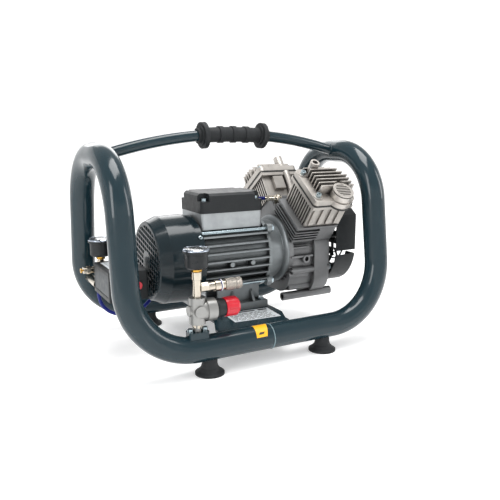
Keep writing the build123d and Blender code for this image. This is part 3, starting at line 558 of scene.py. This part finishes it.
BOSS_CORNERS = [(-0.02, -0.013), (0.02, -0.013), (0.02, 0.013), (-0.02, 0.013)]
SIDE_STEPS = 24
boss_line = []
for (x0, y0), (x1, y1) in zip(BOSS_CORNERS, BOSS_CORNERS[1:] + BOSS_CORNERS[:1]):
    for k in range(SIDE_STEPS):
        x = x0 + (x1 - x0) * k / SIDE_STEPS
        y = y0 + (y1 - y0) * k / SIDE_STEPS
        boss_line.append((OUT_X + x, -RAIL_Y + y, RAIL_Z + math.sqrt(TUBE_R ** 2 - y ** 2)))
weld("outlet_boss_weld", boss_line, 0.0017, 0.18, 0.003)

# ---------------------------------------------------------------- labels
tube_patch("yellow_rail_label", [(-0.036, -19), (-0.003, -29), (-0.0165, 67), (-0.040, 68)],
           TUBE_R - 0.00005, 0.0002, label_yellow)
tube_patch("yellow_rail_label_mark", [(-0.031, 45), (-0.0195, 44), (-0.0235, 55), (-0.0345, 56)],
           TUBE_R + 0.0001, INK_THICK, print_black)

LABEL_CORNER = Vector((-0.050, -0.120, PLATE_Z))
LABEL_TURN = math.radians(-4.0)
LABEL_W, LABEL_H, LABEL_THICK = 0.104, 0.0645, 0.0003


def on_label(u, v, height):
    c, d = math.cos(LABEL_TURN), math.sin(LABEL_TURN)
    return LABEL_CORNER + Vector((u * c - v * d, u * d + v * c, height))


slab("rating_label", [(0, 0), (LABEL_W, 0), (LABEL_W, LABEL_H), (0, LABEL_H)], LABEL_THICK, on_label,
     label_silver)
# Two blocks at the top, then rows of short dashes of mixed lengths with a thin rule under each row.
ROWS, ROW_STEP, FIRST_ROW = 7, 0.0066, 0.0055
DASH_HIGH, DASH_SHORT, DASH_STEP, DASH_GAP = 0.0021, 0.004, 0.0024, 0.0022
marks = [(0.004, 0.0545, 0.070, 0.0605), (0.078, 0.053, 0.099, 0.0615)]
for row in range(ROWS):
    v = FIRST_ROW + ROW_STEP * row
    marks.append((0.003, v - 0.0021, LABEL_W - 0.003, v - 0.0018))
    u = 0.006
    step = 0
    while u < LABEL_W - 0.012:
        long = DASH_SHORT + DASH_STEP * ((row * 5 + step * 3) % 4)
        marks.append((u, v, u + long, v + DASH_HIGH))
        u += long + DASH_GAP + DASH_SHORT * ((row + step) % 3 == 0)
        step += 1
print_bars("rating_label_marks", marks, lambda u, v, h: on_label(u, v, LABEL_THICK + h))

# ---------------------------------------------------------------- gauges
# Each gauge lies face up; its place is the underside of the case, and heights are measured from there.
GAUGES = (("outlet", (OUT_X, OUT_Y, 0.208)), ("tank", (-0.262, 0.082, 0.196)))
UP = (0, 0, 1)
ALONG_X = (1, 0, 0)
DIAL_TOP = 0.03112
DIAL_R = 0.0206
WINDOW_R = 0.0215
WINDOW_CROWN, WINDOW_RISE = 0.0382, 0.0022
SCALE_START, SCALE_SWEEP, TICKS = 225.0, 270.0, 28
TICK_OUTER = 0.0190
BEZEL = [(0.0331, 0.02455), (0.0331, 0.0250), (0.0339, 0.0251), (0.0346, 0.0248), (0.0366, 0.0228),
         (0.0369, 0.0222), (0.0367, 0.0216), (0.0356, 0.0216), (0.0356, 0.0229), (0.0341, 0.02455)]
COLLAR = [(-0.0069, 0.0092), (-0.0064, 0.0096), (-0.0008, 0.0096), (-0.0003, 0.0092)]
DOME = [(WINDOW_CROWN - WINDOW_RISE * (r / WINDOW_R) ** 2, r)
        for r in (WINDOW_R, 0.019, 0.016, 0.013, 0.010, 0.006, 0.002)]


def gauge_scale(name, place):
    """Printed ticks round a dial, every third one longer and wider."""
    centre = Vector(place)
    verts, faces = [], []
    for k in range(TICKS):
        a = math.radians(SCALE_START - SCALE_SWEEP * k / (TICKS - 1))
        out = Vector((math.cos(a), math.sin(a), 0))
        aside = Vector((-out.y, out.x, 0))
        inner, wide = (0.0145, 0.00035) if k % 3 == 0 else (0.0165, 0.0002)
        base = len(verts)
        for height in (DIAL_TOP, DIAL_TOP + INK_THICK):
            for r, w in ((inner, -wide), (TICK_OUTER, -wide), (TICK_OUTER, wide), (inner, wide)):
                verts.append(centre + Vector((0, 0, height)) + out * r + aside * w)
        faces += [tuple(base + i for i in face) for face in BOX_FACES]
    piece(name, verts, faces, print_black, smooth=False)


for name, place in GAUGES:
    turned_ring(f"{name}_gauge_bezel", BEZEL, place, UP, chrome)
    lathe(f"{name}_gauge_dial", [(0.03101, DIAL_R), (DIAL_TOP, DIAL_R)], place, UP, dial_white)
    lathe(f"{name}_gauge_window", [(0.0357, 0.0214)] + DOME, place, UP, window)
    lathe(f"{name}_gauge_collar", COLLAR, place, UP, brass, segments=6)
    gauge_scale(f"{name}_gauge_scale", place)

# ---------------------------------------------------------------- outlet group details
lathe("regulator_inlet_collar", [(0.0948, 0.0100), (0.0953, 0.0104), (0.1019, 0.0104), (0.1024, 0.0100)],
      (OUT_X, OUT_Y, 0), UP, nickel, segments=6)
BAND_IN, BAND_OUT = 0.0104, 0.0108
for name, x0, x1, material in (("coupler_blue_band", -0.1078, -0.1062, blue),
                               ("coupler_white_band", -0.1062, -0.1045, dial_white)):
    turned_ring(name, [(x0, BAND_IN), (x0, BAND_OUT), (x1, BAND_OUT), (x1, BAND_IN)],
                (0, OUT_Y, COUPLER_Z), ALONG_X, material)

# ---------------------------------------------------------------- cowl screws
SCREW_X = -0.1017
COWL_R = 0.0878
SCREW_HEAD = [(0, 0.0044), (0.0016, 0.0044), (0.0026, 0.0037), (0.0030, 0.0026)]
for index, (sy, sz) in enumerate(((-1, 1), (1, 1), (1, -1), (-1, -1))):
    out = Vector((0, 0.81 * sy, 0.586 * sz)).normalized()
    at = Vector((SCREW_X, 0, AXIS_Z)) + out * COWL_R
    lathe(f"cowl_screw_{index}", SCREW_HEAD, at, out, zinc, segments=24)
    # Each head gets a thin black hexagon: painted shade standing for its socket recess.
    lathe(f"cowl_screw_socket_shade_{index}", [(0.0029, 0.0021), (0.00306, 0.0021)], at, out, print_black,
          segments=6)

# ---------------------------------------------------------------- crankcase ribs
turned_ring("drive_flange_rim", [(0.0975, 0.0640), (0.0985, 0.0675), (0.1005, 0.0722), (0.1030, 0.0748),
                                 (0.1060, 0.0752), (0.1076, 0.0744), (0.1079, 0.0725), (0.1079, 0.0640)],
            (0, 0, AXIS_Z), ALONG_X, motor_cast, segments=96)
FIN_THICK = 0.0024
FIN_ROOT = 0.060
CORNER_FINS = ((26, 0.0765), (38, 0.0805), (50, 0.0825), (62, 0.0805))
SIDE_RIBS = ((0.112, 0.160, 0.2005), (0.112, 0.168, 0.2150))
RIB_THICK, RIB_TIP = 0.0030, 0.0735
BOSS = [(0.110, 0.0052), (0.1115, 0.0064), (0.1585, 0.0064), (0.160, 0.0052)]
for side, name in ((-1, "front"), (1, "rear")):
    # Fins that stand out from the lower corner, each at its angle below the shaft, up to its own reach.
    for index, (angle, reach) in enumerate(CORNER_FINS):
        c, d = math.cos(math.radians(angle)), math.sin(math.radians(angle))

        def on_fin(u, v, h):
            off = h - FIN_THICK / 2
            return Vector((u, side * (v * c - off * d), AXIS_Z - v * d - off * c))

        outline = [(0.1085, FIN_ROOT), (0.1085, reach - 0.0045), (0.113, reach), (0.148, reach - 0.0015),
                   (0.152, FIN_ROOT)]
        slab(f"{name}_crankcase_fin_{index}", outline, FIN_THICK, on_fin, case_cast,
             bevel=0.0005)
    for index, (x0, x1, z) in enumerate(SIDE_RIBS):
        outline = [(x0, FIN_ROOT), (x1, FIN_ROOT), (x1, RIB_TIP - 0.003), (x1 - 0.004, RIB_TIP), (x0, RIB_TIP)]
        slab(f"{name}_crankcase_rib_{index}", outline, RIB_THICK, lambda u, v, h: Vector((u, side * v, z + h)),
             case_cast, bevel=0.0006)
    lathe(f"{name}_crankcase_boss", BOSS, (0, side * 0.0655, 0.1405), ALONG_X, case_cast,
          segments=24)

# ---------------------------------------------------------------- switch box panels
TOP_LABEL_THICK = 0.0002
slab("switch_top_label", [(-0.273, -0.036), (-0.228, -0.036), (-0.228, 0.046), (-0.273, 0.046)],
     TOP_LABEL_THICK, lambda u, v, h: Vector((u, v, SWITCH_TOP_Z + h)), label_silver)
top_marks = [(-0.268, -0.030 + 0.011 * k, -0.254 + 0.007 * (k % 3), -0.0275 + 0.011 * k) for k in range(7)]
print_bars("switch_top_marks", top_marks, lambda u, v, h: Vector((u, v, SWITCH_TOP_Z + TOP_LABEL_THICK + h)))
slab("switch_side_panel", [(0.055, 0.137), (-0.043, 0.137), (-0.043, 0.179), (0.055, 0.179)], 0.0004,
     lambda u, v, h: Vector((SWITCH_SIDE_X - h, u, v)), grey_panel)

# ---------------------------------------------------------------- studio
WORLD_STRENGTH = 0.62
FLOOR_GLOW = 0.30


def area_light(name, place, aim, size, power):
    data = bpy.data.lights.new(name, "AREA")
    data.shape = "RECTANGLE"
    data.size, data.size_y = size
    data.energy = power
    lamp = bpy.data.objects.new(name, data)
    lamp.location = place
    lamp.rotation_mode = "QUATERNION"
    lamp.rotation_quaternion = (Vector(aim) - Vector(place)).to_track_quat("-Z", "Y")
    scene.collection.objects.link(lamp)


area_light("top_softbox", (0.1, -0.2, 2.2), (0, 0, 0.1), (1.6, 1.0), 42)
area_light("left_softbox", (-2.3, -1.0, 1.3), (0, 0, 0.2), (0.7, 1.8), 26)
area_light("right_softbox", (2.2, -1.2, 1.3), (0.1, 0, 0.2), (0.6, 1.6), 18)
area_light("back_softbox", (0.6, 2.4, 1.6), (0, 0, 0.3), (2.2, 1.2), 22)

world = bpy.data.worlds.new("studio")
world.use_nodes = True
background = world.node_tree.nodes["Background"]
background.inputs["Color"].default_value = (1, 1, 1, 1)
background.inputs["Strength"].default_value = WORLD_STRENGTH
scene.world = world
scene.view_settings.view_transform = "Standard"

# The studio floor is a wide round bowl whose rim curves up all round, so every view ends in the same white.
FLOOR_R = 6.0
RIM_TOP = 3.1
COVE_R = 1.4
BOWL_STEPS = 96
COVE_STEPS = 12
profile = [(0.01, 0.0), (1.5, 0.0), (3.0, 0.0)]
for k in range(COVE_STEPS + 1):
    a = math.pi / 2 * k / COVE_STEPS
    profile.append((FLOOR_R - COVE_R + COVE_R * math.sin(a), COVE_R - COVE_R * math.cos(a)))
profile.append((FLOOR_R, RIM_TOP))
verts = [(r * math.cos(2 * math.pi * k / BOWL_STEPS), r * math.sin(2 * math.pi * k / BOWL_STEPS), up)
         for r, up in profile for k in range(BOWL_STEPS)]
faces = []
for ring in range(0, len(verts) - BOWL_STEPS, BOWL_STEPS):
    for k in range(BOWL_STEPS):
        a, b = ring + k, ring + (k + 1) % BOWL_STEPS
        faces.append((a, a + BOWL_STEPS, b + BOWL_STEPS, b))
faces.append(tuple(range(BOWL_STEPS)))
floor_mesh = bpy.data.meshes.new("floor")
floor_mesh.from_pydata(verts, [], faces)
floor_mesh.shade_smooth()
floor = bpy.data.objects.new("floor", floor_mesh)
scene.collection.objects.link(floor)
paper = surface("pale_floor", (0.88, 0.88, 0.88), 0.6, mottle=0.01, specular=0.2)
glow = paper.node_tree.nodes["Principled BSDF"]
glow.inputs["Emission Color"].default_value = (1, 1, 1, 1)
glow.inputs["Emission Strength"].default_value = FLOOR_GLOW
floor_mesh.materials.append(paper)
